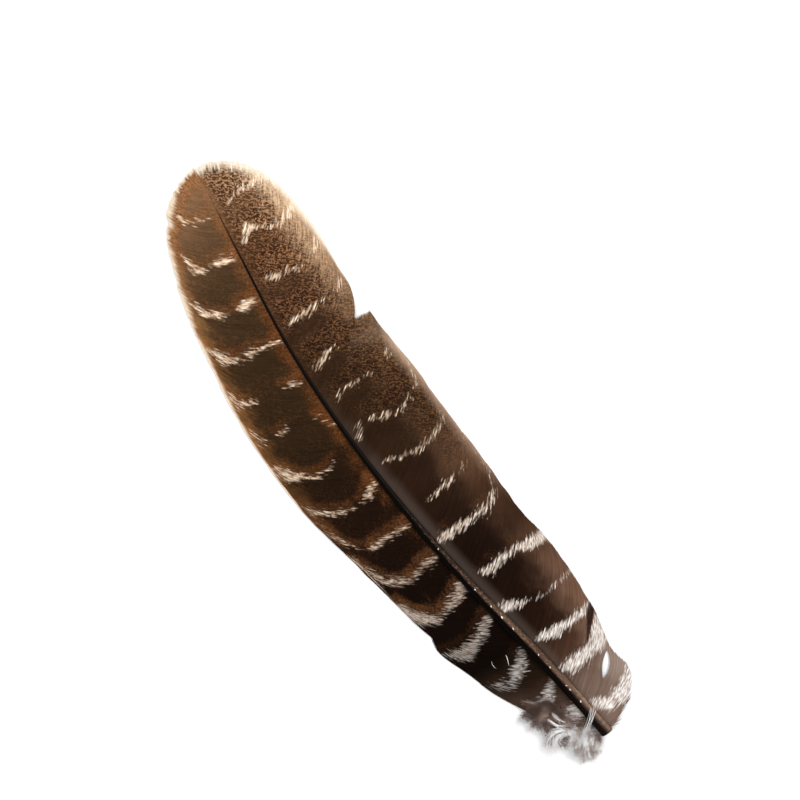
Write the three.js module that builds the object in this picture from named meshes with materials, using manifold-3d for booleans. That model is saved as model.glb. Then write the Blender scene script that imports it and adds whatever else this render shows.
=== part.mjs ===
// A barred turkey wing feather, lying on its underside with the upper side showing.
// Units are millimetres. +Y runs from the cut quill to the tip, +X towards the inner (trailing) vane
// and +Z up from the surface that the feather lies on. The origin is the bottom centre of its box.
import * as THREE from "three";
import { mergeVertices } from "three/addons/utils/BufferGeometryUtils.js";
import Module from "manifold-3d";

// Driving dimensions. A station is a distance along the feather, and the vane begins near station 0.
const SHAFT_START = 0; // the cut end of the quill
const SHAFT_END = 274;
const SHAFT_SUNK = 0.15; // how far the underside of the quill is flattened where it rests
const VANE_THICKNESS = 0.8;
const FIT_GAP = 0.3; // between neighbouring pieces
const FLAT_EDGE = 0.96; // the share of a vane's width past which its edge lies flat
const DOME_POWER = 1.3; // over 1, a vane comes down to the surface gently

// The shaft: its centre line from above, bowed towards the outer vane, its width, and how high its
// underside arches over the surface.
const SHAFT_LINE = [
  [0, -2.5], [40, -6.4], [80, -11.8], [120, -15.2],
  [160, -16.2], [200, -14.2], [240, -8.6], [274, -3.4], [280, -2.8],
];
const SHAFT_WIDTH = [
  [0, 5.2], [40, 5.1], [80, 4.2], [120, 2.8],
  [160, 1.8], [200, 1.2], [240, 0.75], [274, 0.5],
];
const SHAFT_RISE = [
  [0, 0], [16, 0], [50, 3.4], [90, 7.4], [130, 9.6],
  [170, 9.8], [210, 7.6], [250, 3.2], [274, 0.3], [280, 0],
];
const SHAFT_DEPTH_SHARE = 0.9; // depth over width
const SHAFT_SQUARENESS = 0.8; // 1 is an ellipse, and less is squarer
const SHAFT_SIDES = 12;
const SHAFT_STEPS = 44;

// The vanes' edges, from the base to the tip, as [station, distance across].
const INNER_EDGE = [
  [0.8, 3.2], [4, 8.8], [8, 15.4], [12, 19], [19, 20.6], [26, 19.4], [34, 20.6], [48, 22.8],
  [66, 23.8], [80, 23.4], [92, 21.8], [120, 21.4], [160, 20.8], [190, 20.2], [205, 20.2],
  [220, 21], [236, 22], [248, 21.6], [258, 19.8], [266.4, 16], [272.8, 10.8], [277, 4.4], [279.4, -1.6],
];
const OUTER_EDGE = [
  [4, -7.2], [10, -11.2], [16, -15.2], [22, -19], [28, -23], [34, -26.8], [40, -30.2],
  [56, -34.6], [68, -38], [75, -37], [80, -38.4], [96, -40.8], [112, -43.2], [128, -45.8],
  [144, -48.4], [160, -49.2], [176, -48.8], [192, -47.4], [208, -45.2], [224, -42.2], [240, -38.4],
  [256, -32.2], [266, -26.8], [272, -22.4], [276.4, -17], [279, -11.4], [279.8, -5.4],
];
const EDGE_STEPS = 2; // steps from one point of an edge to the next
const VANE_STEPS_ACROSS = 8;

// The tear in the inner vane's edge: it goes straight in and slants back out along the barbs.
const TEAR = [[191.8, 24], [193.4, 14.6], [209, 24]];

// The gap that two parted barbs leave near the base of the inner vane.
const SLIT = { station: 22, across: 13, length: 11.2, width: 2.8, turned: 0.91 }; // turned from +X

// The tuft of down at the foot of the outer vane, as the outline of its fluff, anticlockwise.
const TUFT_EDGE = [
  [-3, -6.5], [2, -6.9], [9, -11.8], [15, -15.9], [21, -19.7], [27, -23.6], [31.5, -26.6], [26, -28.2],
  [21, -26.8], [14, -25], [9, -22.8], [3, -19.2], [-3.5, -16.8], [-6.2, -13.4], [-5.4, -9.2],
];
const TUFT_MIDDLE = [8.5, -16];
const TUFT_HEIGHT = 6;
const TUFT_ROUND = 30;
const TUFT_RINGS = 8;

const wasm = await Module();
wasm.setup();

// A point seen from above, from its [station, distance across].
const toPlan = ([station, across]) => new THREE.Vector2(across, station);

// A smooth function of station through [station, value] pairs.
function smoothThrough(pairs) {
  const slopeAt = (i) => {
    const [before, after] = [pairs[Math.max(i - 1, 0)], pairs[Math.min(i + 1, pairs.length - 1)]];
    return (after[1] - before[1]) / (after[0] - before[0]);
  };
  return (station) => {
    const last = pairs.length - 2;
    let i = 0;
    while (i < last && station > pairs[i + 1][0]) i += 1;
    const span = pairs[i + 1][0] - pairs[i][0];
    const t = THREE.MathUtils.clamp((station - pairs[i][0]) / span, 0, 1);
    const [t2, t3] = [t * t, t * t * t];
    return (2 * t3 - 3 * t2 + 1) * pairs[i][1] + (t3 - 2 * t2 + t) * span * slopeAt(i)
      + (3 * t2 - 2 * t3) * pairs[i + 1][1] + (t3 - t2) * span * slopeAt(i + 1);
  };
}

const shaftLine = smoothThrough(SHAFT_LINE);
const shaftWidth = smoothThrough(SHAFT_WIDTH);
const shaftRise = smoothThrough(SHAFT_RISE);
const shaftDepth = (station) => SHAFT_DEPTH_SHARE * shaftWidth(station);

// The height of the shaft's centre above the surface.
const shaftHeight = (station) => Math.max(0, shaftRise(station)) + shaftDepth(station) / 2 - SHAFT_SUNK;

// The height of a vane's underside, at a share of the way from the shaft (0) to its edge (1).
function vaneUnderside(station, share) {
  const root = shaftHeight(station) - VANE_THICKNESS / 2;
  const reach = Math.min(1, share / FLAT_EDGE);
  return Math.max(0, root) * Math.cos((Math.PI / 2) * reach) ** DOME_POWER;
}

// Moves every vertex of a geometry to the place that a function gives for it.
function reshape(geometry, place) {
  const points = geometry.getAttribute("position");
  const at = new THREE.Vector3();
  for (let i = 0; i < points.count; i += 1) {
    at.fromBufferAttribute(points, i);
    place(at);
    points.setXYZ(i, at.x, at.y, at.z);
  }
  geometry.computeVertexNormals();
  return geometry;
}

// A squarer ellipse's coordinate, from the same coordinate of a circle.
const squared = (x) => Math.sign(x) * Math.abs(x) ** SHAFT_SQUARENESS;

// Quill and rachis: one tapering rod with a flat underside where it rests.
function shaftGeometry() {
  const half = Math.PI / SHAFT_SIDES; // turns a flat side of the rod to face down
  const rod = new THREE.CylinderGeometry(1, 1, 1, SHAFT_SIDES, SHAFT_STEPS, false, half);
  return reshape(rod, (at) => {
    const station = THREE.MathUtils.lerp(SHAFT_START, SHAFT_END, at.y + 0.5);
    const across = shaftLine(station) + 0.5 * shaftWidth(station) * squared(at.x);
    const up = shaftHeight(station) + 0.5 * shaftDepth(station) * squared(at.z);
    at.set(across, station, Math.max(0, up));
  });
}

// One vane: a thin sheet from the side of the shaft out to its edge. Side is 1 for the inner vane and
// -1 for the outer one.
function vaneGeometry(edge, side) {
  const line = new THREE.SplineCurve(edge.map(toPlan));
  const steps = (edge.length - 1) * EDGE_STEPS;
  const sheet = new THREE.BoxGeometry(1, 1, 1, VANE_STEPS_ACROSS, steps, 1);
  return reshape(sheet, (at) => {
    const share = 0.5 + side * at.x;
    const end = line.getPoint(at.y + 0.5);
    const width = end.y < SHAFT_END ? shaftWidth(end.y) : 0;
    const root = shaftLine(end.y) + side * (width / 2 + FIT_GAP);
    // The outermost strip is narrow, so that just the very edge lies flat.
    const spread = share < 1 ? (share * VANE_STEPS_ACROSS * FLAT_EDGE) / (VANE_STEPS_ACROSS - 1) : 1;
    const across = THREE.MathUtils.lerp(root, end.x, spread);
    at.set(across, end.y, vaneUnderside(end.y, spread) + (at.z + 0.5) * VANE_THICKNESS);
  });
}

// The upright, lens-shaped prism that the slit takes out of a vane.
function slitGeometry() {
  const [tip, side] = [SLIT.length / 2, SLIT.width];
  const lens = new THREE.Shape();
  lens.moveTo(-tip, 0);
  lens.quadraticCurveTo(0, side, tip, 0);
  lens.quadraticCurveTo(0, -side, -tip, 0);
  return upright(lens).rotateZ(SLIT.turned).translate(SLIT.across, SLIT.station, 0);
}

// A prism through the whole height of a vane, with a given outline.
function upright(outline) {
  const depth = 40;
  const prism = new THREE.ExtrudeGeometry(outline, { depth, bevelEnabled: false, curveSegments: 6 });
  return prism.translate(0, 0, -depth / 2);
}

const tearGeometry = () => upright(new THREE.Shape(TEAR.map(toPlan)));

// The down as one plain rounded cushion, flat underneath, that its fluff fills.
function tuftGeometry() {
  const corners = TUFT_EDGE.map(([station, across]) => new THREE.Vector3(across, station, 0));
  const outline = new THREE.CatmullRomCurve3(corners, true);
  const middle = toPlan(TUFT_MIDDLE);
  const ball = new THREE.SphereGeometry(1, TUFT_ROUND, TUFT_RINGS).rotateX(Math.PI / 2);
  return reshape(ball, (at) => {
    const round = (Math.atan2(at.y, at.x) / (2 * Math.PI) + 1) % 1;
    const out = Math.min(1, Math.hypot(at.x, at.y));
    const rim = outline.getPoint(round);
    const across = THREE.MathUtils.lerp(middle.x, rim.x, out);
    const station = THREE.MathUtils.lerp(middle.y, rim.y, out);
    at.set(across, station, TUFT_HEIGHT * Math.max(0, at.z));
  });
}

// Boolean work: a three.js geometry as a solid, and back again.
function solidFrom(geometry) {
  const bare = new THREE.BufferGeometry();
  bare.setAttribute("position", geometry.getAttribute("position"));
  if (geometry.index) bare.setIndex(geometry.index);
  const merged = mergeVertices(bare, 1e-4);
  const vertProperties = merged.getAttribute("position").array;
  const triVerts = new Uint32Array(merged.index.array);
  return new wasm.Manifold(new wasm.Mesh({ numProp: 3, vertProperties, triVerts }));
}

function geometryFrom(solid) {
  const { vertProperties, triVerts } = solid.getMesh();
  const geometry = new THREE.BufferGeometry();
  geometry.setAttribute("position", new THREE.BufferAttribute(vertProperties, 3));
  geometry.setIndex(new THREE.BufferAttribute(triVerts, 1));
  geometry.computeVertexNormals();
  return geometry;
}

function innerVaneGeometry() {
  const whole = solidFrom(vaneGeometry(INNER_EDGE, 1));
  return geometryFrom(whole.subtract(solidFrom(slitGeometry())).subtract(solidFrom(tearGeometry())));
}

const finish = (color, roughness) => new THREE.MeshStandardMaterial({ color, roughness, metalness: 0 });

function piece(name, geometry, material) {
  const mesh = new THREE.Mesh(geometry, material);
  mesh.name = name;
  return mesh;
}

const feather = new THREE.Group();
feather.add(
  piece("shaft", shaftGeometry(), finish(0x2a1d17, 0.35)),
  piece("inner_vane", innerVaneGeometry(), finish(0x4a3628, 0.7)),
  piece("outer_vane", vaneGeometry(OUTER_EDGE, -1), finish(0x3a2c1f, 0.7)),
  piece("down_tuft", tuftGeometry(), finish(0xb5aca6, 0.95)),
);

// Brings the bottom centre of the box to the origin.
const box = new THREE.Box3().setFromObject(feather);
const centre = box.getCenter(new THREE.Vector3());
feather.position.set(-centre.x, -centre.y, -box.min.z);

export default feather;
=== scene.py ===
# A barred turkey wing feather lying on a pale floor, seen from straight above.
#
# Shapes are worked out in millimetres in the feather's own plan, as (station, across): a station is a
# distance along the feather, towards its tip, and across is a distance to its right. on_frame() turns
# them into the frame's metres.
import functools
import math

import bpy
import numpy as np
from mathutils import Matrix, Vector


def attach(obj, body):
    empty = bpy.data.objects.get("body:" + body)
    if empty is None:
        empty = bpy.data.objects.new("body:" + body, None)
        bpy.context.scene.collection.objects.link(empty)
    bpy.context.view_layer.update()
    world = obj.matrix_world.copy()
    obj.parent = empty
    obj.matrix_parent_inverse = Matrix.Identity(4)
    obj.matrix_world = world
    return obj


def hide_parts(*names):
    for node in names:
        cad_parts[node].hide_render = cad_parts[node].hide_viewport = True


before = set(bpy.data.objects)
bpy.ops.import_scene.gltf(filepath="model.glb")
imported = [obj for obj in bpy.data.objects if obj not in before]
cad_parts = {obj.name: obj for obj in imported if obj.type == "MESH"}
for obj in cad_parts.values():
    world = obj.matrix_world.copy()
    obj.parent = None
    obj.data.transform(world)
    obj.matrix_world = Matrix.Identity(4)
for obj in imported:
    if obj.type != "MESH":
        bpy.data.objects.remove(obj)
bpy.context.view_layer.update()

MM = 0.001
RNG = np.random.default_rng(7)

# ---------------- sizes and places, in mm

SHAFT_START = (0.0, -2.5)  # (station, across) of the middle of the quill's cut end
FEATHER_LENGTH = 280.0
INNER, OUTER = 1, -1  # the side of the shaft that a vane is on

# The edges of the two vanes, where their barbs end.
INNER_EDGE = [
    (0.8, 3.2), (2, 6.2), (4, 9), (8, 15.6), (12, 19.2), (19, 20.8), (26, 19.4), (34, 20.8), (48, 23),
    (66, 24), (80, 23.6), (92, 22), (120, 21.6), (160, 21), (190, 20.4), (205, 20.4), (220, 21.2),
    (236, 22.2), (248, 21.8), (258, 20.4), (267.2, 16.8), (274.2, 11.2), (278.2, 4.4), (280.2, -1.6),
    (280.4, -6.6),
]
OUTER_EDGE = [
    (33, -26.4), (36, -28.4), (40, -30.4), (48, -32.6), (56, -34.6), (68, -38), (75, -37), (80, -38.4),
    (96, -40.8), (112, -43.2), (128, -45.8), (144, -48.6), (160, -49.4), (176, -49), (192, -47.6),
    (208, -45.3), (224, -42.3), (240, -38.5), (256, -32.6), (266, -27.4), (272.4, -22.4), (276.8, -16.6),
    (279.2, -10.4), (280.2, -3.4),
]
# Where a barb that leaves the shaft at a station ends: (station, distance along the vane's edge).
INNER_TIPS = [
    (1.5, 0), (2.2, 8), (3.4, 16), (5.2, 23), (8, 32), (11, 41), (20, 57), (40, 82), (80, 125), (120, 166),
    (160, 206), (200, 243), (230, 268), (250, 282), (262, 292), (270, 298.5), (274, 304),
]
OUTER_TIPS = [
    (5, 0), (10, 9), (20, 21), (40, 45), (80, 84), (120, 125), (160, 165), (200, 202), (230, 228),
    (250, 245), (262, 256), (270, 267.5), (274, 279),
]
# The border that each vane's dome comes down to, which runs on past the barbs at the base.
INNER_BORDER = [(-8, 17), (8, 18)] + INNER_EDGE[4:]
OUTER_BORDER = [(-8, -15), (0, -18.8), (10, -23), (18, -25.4), (26, -27)] + OUTER_EDGE
FLAT_EDGE = 0.96  # the share of a vane's width past which it lies flat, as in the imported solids
DOME_POWER = 1.3
WEB_LIFT = 0.3  # the web's middle above the surface, at its edge

BARBS = 560  # on each vane
BARB_STEPS = 24
BARB_RINGS = BARB_STEPS - 1
BARB_SIDES = 4  # of a barb's section, which has a left edge, a ridge, a right edge and a keel
LEFT_EDGE, RIGHT_EDGE, KEEL = 0, 2, 3
# The share of its way at which each ring of a barb stands. The first ring stands inside the shaft.
BARB_SHARES = np.concatenate([[0.0, 0.012], np.linspace(0.05, 1.0, BARB_RINGS)])
BARB_OVERLAP = 1.42  # the width of a barb over the distance to the next one
BARB_HALVES = (0.14, 0.8)  # the least and the greatest half width of a barb
BARB_TAPER = 1.8  # how far from its tip a barb begins to narrow
BARB_RIDGE = 0.09
BARB_KEEL = 0.15
BARB_TILT = 0.13  # how far each barb lies over its neighbour, for its width
BARB_INSIDE = 0.16  # how far from the shaft's middle a barb starts, as a share of the shaft's width
BARB_BOW = 0.36  # how long each end of a barb keeps its heading, as a share of the barb
ROOT_CROWDING = 0.7  # how much closer barbs grow where their tips spread out, from 0 to 1
LEAST_SPREAD, ROOT_SAMPLES = 0.3, 2000
LEAVE_TURN = {INNER: 13, OUTER: 27}  # how much a barb opens out where it leaves the shaft, in degrees
# By station: how much a barb bends forward at its tip, in degrees.
ARRIVE_TURN = [(0, 12), (12, 20), (40, 34), (200, 34), (250, 20), (274, 8)]
BAKE_MARGIN = 0.08  # between the barbs' strips in the map for baking, as a share of a strip
LOWEST_BARB = 0.16  # the least height of a barb's middle line
LOWEST_POINT = 0.02

# The tear in the inner vane: straight in from its edge, and out again along the barbs.
TEAR = [(191.8, 24.6), (193.5, 14.4), (209, 24.2)]
# The gap between two parted barbs near the base of the inner vane.
SLIT = {"middle": (22, 13), "turn": 0.66, "length": 12, "width": 3.1, "spread": 5}
# A fold in the inner vane, pressed in and painted dark as its shadow, as a line of (station, across, half
# its width), and how deep it is.
CREASE = [(1, [(34.4, 12.8, 0.3), (38, 16.2, 0.8), (42.6, 20.4, 1.4), (45, 22.6, 1.2)])]
CREASE_DEPTH = 0.35
NO_CREASE = -9.0  # how far inside a fold every place of the other vane counts as
NO_BAR = -50.0
# How barbs vary, as (over how many neighbours, about how much, in mm): their ends, places and bulges.
END_WANDER = (3, 0.35)
PLACE_WANDER = (5, 0.12)
TIP_WANDER = (18, 0.2)
BULGE_WANDER = (24, 0.22)
FRAY = 1.5  # how far the inner vane's first barbs stray at their tips

# Pale bars on the vanes. Each is a line of (station, across, half its width), from the shaft out, and
# how solid it is.
INNER_BARS = [
    (0.92, [(12.6, 0.6, 3), (9.2, 4, 3.4), (8.8, 10, 4.2), (10.4, 15, 4.4), (13.4, 19.4, 4)]),
    (0.8, [(31.2, -2, 2.2), (30.2, 2, 4.2), (30.6, 7, 4), (30.8, 12, 3.4), (31.4, 15.6, 4.8), (34, 19, 5.2),
        (38.6, 21, 2.8)]),
    (0.95, [(47.6, -3.4, 1.4), (46.8, 0, 2.7), (45.2, 4, 3.2), (44.8, 9, 2.5), (44.8, 14, 2.5),
        (44.4, 18, 2.5), (45.4, 21.4, 2)]),
    (0.85, [(65.2, -6.2, 3.2), (63.2, -0.8, 2.2), (61.4, 3.2, 1.1), (60, 8, 1), (59.4, 13.2, 1.2),
        (60.2, 19, 1.1), (61.2, 24, 1.2)]),
    (0.72, [(81.2, -5.6, 1.6), (80.4, -1.6, 2.8), (81.2, 4.8, 2.6), (81.2, 10, 2.1)]),
    (0.98, [(81.2, 10, 1.6), (79.2, 16, 2.9), (78.8, 20.8, 3.4), (78.8, 24, 3.4)]),
    (0.75, [(102, -9.6, 2.9), (101.6, -4, 2.6), (101.2, 2, 2.4), (101.2, 8, 2.4), (100.8, 12, 2.5),
        (103.4, 16.2, 1.9), (105.8, 18.6, 1)]),
    (0.62, [(105.8, 18.6, 0.7), (112, 20.8, 0.5), (122, 21.6, 0.45), (132, 21.5, 0.3)]),
    (0.6, [(117.6, -5.4, 1), (118, 0, 1.9), (118, 4, 1.9), (118.8, 8.8, 1.5), (120, 13.6, 1.3),
        (121.6, 16.8, 0.5)]),
    (0.88, [(140, -9.6, 1.2), (137.6, -4.8, 1.4), (136.4, 0, 1.4), (136, 6, 1.4), (136.8, 12, 1.5),
        (138.8, 16.8, 1.3), (142.4, 20, 0.9)]),
    (0.9, [(153.2, -13.6, 1.2), (157.4, -9.8, 1.6)]),
    (0.66, [(157.2, -5, 1.9), (154, 0.8, 1.8), (152.8, 6, 1.1), (154, 12.8, 1)]),
    (0.85, [(156, 16.8, 1.1), (160, 19.5, 1.2), (165, 20.1, 0.7), (176, 20.6, 0.3)]),
    (0.7, [(169.4, -11.8, 0.9), (173, -7, 1), (172.2, -3, 1.1), (172.2, 2, 1.1), (171.2, 5, 0.9)]),
    (0.25, [(173, 14.6, 1.4), (176, 17.6, 0.9)]),
    (0.62, [(185.4, -12, 1), (186.8, -7.2, 1.6), (187.4, -4, 1.8), (188.8, 0, 1)]),
    (0.75, [(205.2, -11.2, 0.8), (206.2, -6.4, 1.6), (206, -2, 1.9), (206, 3.2, 1.8), (206.4, 7.2, 1.4)]),
    (0.66, [(206, 14, 1.1), (208.6, 18.4, 1.7)]),
    (0.9, [(226.6, -6.8, 0.7), (224.8, -3, 2.3), (224.2, 0.4, 1.4), (222.8, 5.6, 1.6), (221.8, 9.6, 0.7)]),
    (0.85, [(222.6, 15.6, 1.3), (226.4, 19.6, 2.1), (230, 22, 1.6)]),
    (0.9, [(243, -3.8, 1), (246.6, 0.2, 3), (244.8, 4.4, 1.2), (241.6, 9.2, 1.3), (241.4, 14, 1.9),
        (243.6, 19, 3)]),
    (0.86, [(260.2, 0.2, 1.5), (261.4, 4.4, 1.1), (261.4, 8.4, 2), (260.6, 13, 2.1), (260.4, 17, 2.2)]),
]
OUTER_BARS = [
    (1, [(14.6, -6, 4), (14.4, -9.8, 4.6), (14.8, -13, 3)]),
    (0.95, [(30, -8.4, 1.9), (27.2, -11.4, 2.8), (24.2, -14.6, 3.5), (25.4, -18, 2.6), (29.8, -22.4, 0.6)]),
    (0.85, [(46.6, -11.4, 2.6), (42.4, -14.8, 3.7), (40, -18.8, 3.4), (37.8, -22, 2.4)]),
    (0.5, [(39.6, -25, 2.6), (42, -28.4, 1.6)]),
    (0.76, [(65.4, -14, 2.7), (62.4, -19, 3), (60.2, -24, 3.2), (58.8, -29, 4.2), (60.6, -33.6, 3),
        (62.8, -35.8, 1.6)]),
    (0.6, [(82, -14.6, 3.4), (79.6, -18.6, 3.4), (78.4, -23, 3), (77, -27, 1.8)]),
    (0.98, [(76, -30.6, 2.4), (79.4, -34.6, 3.2), (84, -38, 2.6), (90, -39.8, 1.3)]),
    (0.84, [(97.2, -16.8, 2.2), (97.8, -21.6, 2.2), (97.2, -25.6, 1.6), (95.2, -28.8, 1.6), (97, -33.6, 2),
        (101.4, -38.8, 2.3), (107.4, -41.6, 1.4), (116, -43.4, 0.5)]),
    (0.78, [(114.4, -16.8, 1.1), (115, -20.8, 1.6), (114.8, -25, 1.5), (114.8, -30, 2.1),
        (114.4, -34.4, 2)]),
    (0.6, [(117, -38.4, 0.7), (122.4, -42.6, 1.5), (130, -45.4, 1), (138, -47.2, 0.5)]),
    (0.92, [(135.4, -19.4, 2.3), (133.2, -23, 2.2), (131.8, -26.4, 1)]),
    (0.85, [(132.6, -31.4, 1.1), (133.2, -36, 2), (136.2, -40.6, 1.6), (139.2, -45, 1.8),
        (144.6, -47.6, 0.8)]),
    (0.8, [(152.4, -25.8, 0.6), (150.8, -29.6, 1), (150.4, -33.6, 1.2), (151.6, -37.6, 1.4),
        (154.6, -41.6, 2.6), (157.8, -45.4, 3), (163.4, -47.8, 1.8)]),
    (0.88, [(163, -16.8, 1.2), (166.4, -19.2, 1.2), (169.4, -21.4, 0.7)]),
    (0.75, [(173.2, -33.8, 1.4), (172.8, -36.8, 1.8), (173.8, -39.4, 1)]),
    (0.6, [(174.6, -45.4, 2), (181, -47.4, 1.3)]),
    (0.95, [(185, -19.4, 1.4), (186.8, -24.6, 1.4)]),
    (0.6, [(189, -36.4, 1), (189.8, -40.4, 2), (192.6, -44.2, 2.4), (198.6, -45.2, 1.4)]),
    (0.76, [(202.6, -15.6, 1.2), (204, -20.8, 1.4), (205.8, -26.4, 2), (206.4, -31.4, 1.6),
        (207, -35.2, 1.8), (210.2, -38.2, 2.6), (217, -40.8, 1.6)]),
    (1, [(221.8, -14.8, 2), (222.6, -18.2, 2.6), (222.8, -21.4, 1.3)]),
    (0.85, [(222.8, -25.4, 0.9), (225.2, -29.2, 2), (229.4, -33.4, 2), (237, -35.6, 1.4)]),
    (0.98, [(240.6, -11.6, 1.5), (242, -16, 2.5), (243.8, -20.6, 1.3)]),
    (0.92, [(243.4, -23.6, 1.6), (245.4, -26.4, 2.2), (250.6, -27, 1.7), (254, -27.6, 1.1)]),
    (0.45, [(260, -10.8, 0.9), (261.2, -15.2, 1.2), (264, -19.2, 1.8), (269.6, -19.8, 1.2)]),
]

BAND_BELOW = 5.0  # how far the plain dark band reaches below a bar
HALO_BEYOND = 2.4  # how far rusty brown reaches beyond a bar

# The cut end: a rim of horn round sunken pith. Each ring is (size, how far it is sunk).
CUT_END = [(0.35, 0.65), (0.72, 0.45), (0.8, 0), (0.93, 0), (1, 0.15)]
PITH_RINGS = 3
PITH_DEPTH = 0.7
SHAFT_SIDES = 28
SHAFT_SQUARENESS = 0.82  # of its section, where 1 is round and less is squarer
# The ridge above and the groove below, as (size for half the shaft's depth, angle, spread).
RIDGE = (0.12, 1.66, 0.36)
GROOVE = (0.16, 1.5 * math.pi, 0.30)
RUN_OUT = 2.0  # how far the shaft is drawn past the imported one's end
SHAFT_POINT = 2.6  # how far past it the tip's point is

# White flecks on the quill: (station, length).
FLECKS = [
    (16.8, 1.3), (23.2, 1.2), (25.4, 0.9), (35.2, 1.1), (42, 1), (56.4, 1.5), (62.8, 1.5), (68.8, 1),
    (78, 0.9), (99.6, 0.9),
]

# The downy barbs, from the base up: (row, station and across of the root, headings at the root and at the
# tip, in degrees from the feather's own way towards its outer side, length, how high it may rise).
WHITE_DOWN = [
    (0, 0.6, -4.6, 100, 156, 9, 3), (1, 1.5, -4.9, 90, 152, 12.5, 3.8), (2, 5, -5.2, 78, 150, 16.5, 4.4),
    (3, 9, -5.6, 66, 150, 20, 4.4), (4, 13, -6.6, 58, 142, 21.5, 4),
]
BROWN_DOWN = [
    (0, 8, -5.6, 62, 112, 18, 2.6), (1, 13, -6.8, 58, 104, 19.6, 2.6), (2, 17, -8.4, 58, 98, 19.2, 2.4),
    (3, 21, -10.4, 60, 90, 17, 2.2),
]
DOWN_SAMPLES = 25
STEM_RADIUS, STEM_TIP_RADIUS = 0.1, 0.03
BARBULE_WIDTH = 0.085
BARBULE_SPREAD = (50, 11)  # between a stem and its barbules: the mean in degrees, and how it varies
BARBULE_RISE = (0.05, 0.36)  # of a barbule for its length: the mean, and how it varies
BARBULE_CURL = 0.22  # how far a barbule curls away, as a share of its length
LOWEST_DOWN = 0.01
TUFT_TOP = 6.0
WISP_PALE = 1.3  # how near its tip a loose strand counts as, where 1 is the tip, so that it is pale

# Loose strands: (start, middle, end) as (station, across, height), width, how many and how far apart. The
# first three rows are the wisp over the quill, and the last two are hairs on the outer vane.
STRANDS = [
    ((12.6, -1.8, 4.4), (9.6, -4.6, 7), (4.8, -11.2, 3.4), 0.06, 5, 0.40),
    ((11.2, -0.2, 4.4), (7.6, -4.4, 6.4), (5.4, -9.4, 4), 0.06, 4, 0.40),
    ((12, -0.8, 4.4), (9, -4.6, 6.4), (5.6, -10, 3.8), 0.05, 5, 0.70),
    ((9.3, -14, 5.2), (17.5, -20.5, 6.8), (9, -24.8, 2.6), 0.08, 26, 1),
    ((8.6, -13.4, 5.2), (14, -23, 6.6), (3.6, -22.4, 2.4), 0.08, 24, 1.2),
    ((19, -18.6, 4.4), (14.5, -17.8, 6.2), (11, -14, 5.4), 0.07, 14, 0.9),
    ((19.6, -15.6, 4), (16.5, -15.4, 5.4), (13, -14.2, 5.4), 0.07, 8, 0.7),
    ((3.8, -11, 4.6), (1.4, -12.6, 5.4), (-3.8, -14.8, 2), 0.08, 20, 1.3),
    ((2.6, -8.2, 4.2), (0.2, -10.4, 4.8), (-3.8, -12, 1.6), 0.08, 14, 1.1),
    ((49.5, -16.9, 5.1), (47.4, -17.2, 5.9), (45.2, -18.5, 4.6), 0.18, 1, 0),
    ((50.5, -23, 3.3), (48.8, -24, 4.1), (46.9, -23.2, 3.1), 0.09, 1, 0),
]

# The camera sees SEEN mm of the floor across its square picture, with VIEW_MIDDLE, in the feather's
# plan, at the picture's middle and the tip turned VIEW_TURN to the left.
SEEN = 320.0
VIEW_MIDDLE = (155.96, 8.92)
VIEW_TURN = math.radians(36.15)
LENS = 85.0
SENSOR = 36.0

FLOOR = 6.0  # each side of the floor, in metres
SKY = 0.55  # how strong the light from all round is
# Lamps: (name, place along the picture's right and up and towards the camera, size, power), in metres
# and watts.
LIGHTS = [("key", (0.9, 0.9, 1.0), 0.8, 24.0), ("fill", (-1.1, -0.3, 1.1), 1.2, 11.0)]
WHITE = 0xffffff


# ---------------- small helpers

def smooth(table, at):
    """Values at some places of the smooth curve through (place, value, value...) rows."""
    rows = np.asarray(table, float)
    x, y = rows[:, 0], rows[:, 1:]
    slopes = np.gradient(y, x, axis=0)
    at = np.clip(np.asarray(at, float), x[0], x[-1])
    i = np.clip(np.searchsorted(x, at, side="right") - 1, 0, len(x) - 2)
    span = (x[i + 1] - x[i])[..., None]
    t = (at - x[i])[..., None] / span
    value = (
        (1 + 2 * t) * (1 - t) ** 2 * y[i] + t * (1 - t) ** 2 * span * slopes[i]
        + t * t * (3 - 2 * t) * y[i + 1] - t * t * (1 - t) * span * slopes[i + 1]
    )
    return value[..., 0] if y.shape[1] == 1 else value


def unit(v):
    return v / np.maximum(np.linalg.norm(v, axis=-1, keepdims=True), 1e-9)


def ease(x, low, high):
    """0 below low and 1 above high, with a smooth step between them."""
    t = np.clip((x - low) / (high - low), 0, 1)
    return t * t * (3 - 2 * t)


def totals(steps):
    """The running totals of some steps, from 0."""
    return np.concatenate([[0], np.cumsum(steps)])


def wander(count, length, size):
    """A random walk in one line of numbers, smooth over length of them and about size high."""
    rough = RNG.normal(size=count + 6 * length)
    window = np.hanning(4 * length + 1)
    line = np.convolve(rough, window / np.linalg.norm(window), "same")
    return size * line[3 * length:3 * length + count]


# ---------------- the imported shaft, as a guide

def shaft_rings():
    """(station, across, height, width, depth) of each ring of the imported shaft, from base to tip."""
    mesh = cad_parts["shaft"].data
    points = np.empty(3 * len(mesh.vertices))
    mesh.vertices.foreach_get("co", points)
    points = points.reshape(-1, 3) / MM
    points = points[np.argsort(points[:, 1])]
    breaks = np.flatnonzero(np.diff(points[:, 1]) > 1.0) + 1
    rings = []
    for ring in np.split(points, breaks):
        low, high = ring.min(0)[[0, 2]], ring.max(0)[[0, 2]]
        rings.append([ring[:, 1].mean(), *(low + high) / 2, *(high - low)])
    return np.array(rings)


RINGS = shaft_rings()
PLAN_TO_ROW = np.array([RINGS[0, 1] - SHAFT_START[1], RINGS[0, 0] - SHAFT_START[0]])  # (x, y), in mm
RINGS[:, 0] -= PLAN_TO_ROW[1]
RINGS[:, 1] -= PLAN_TO_ROW[0]
SHAFT_END = RINGS[-1, 0]


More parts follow.
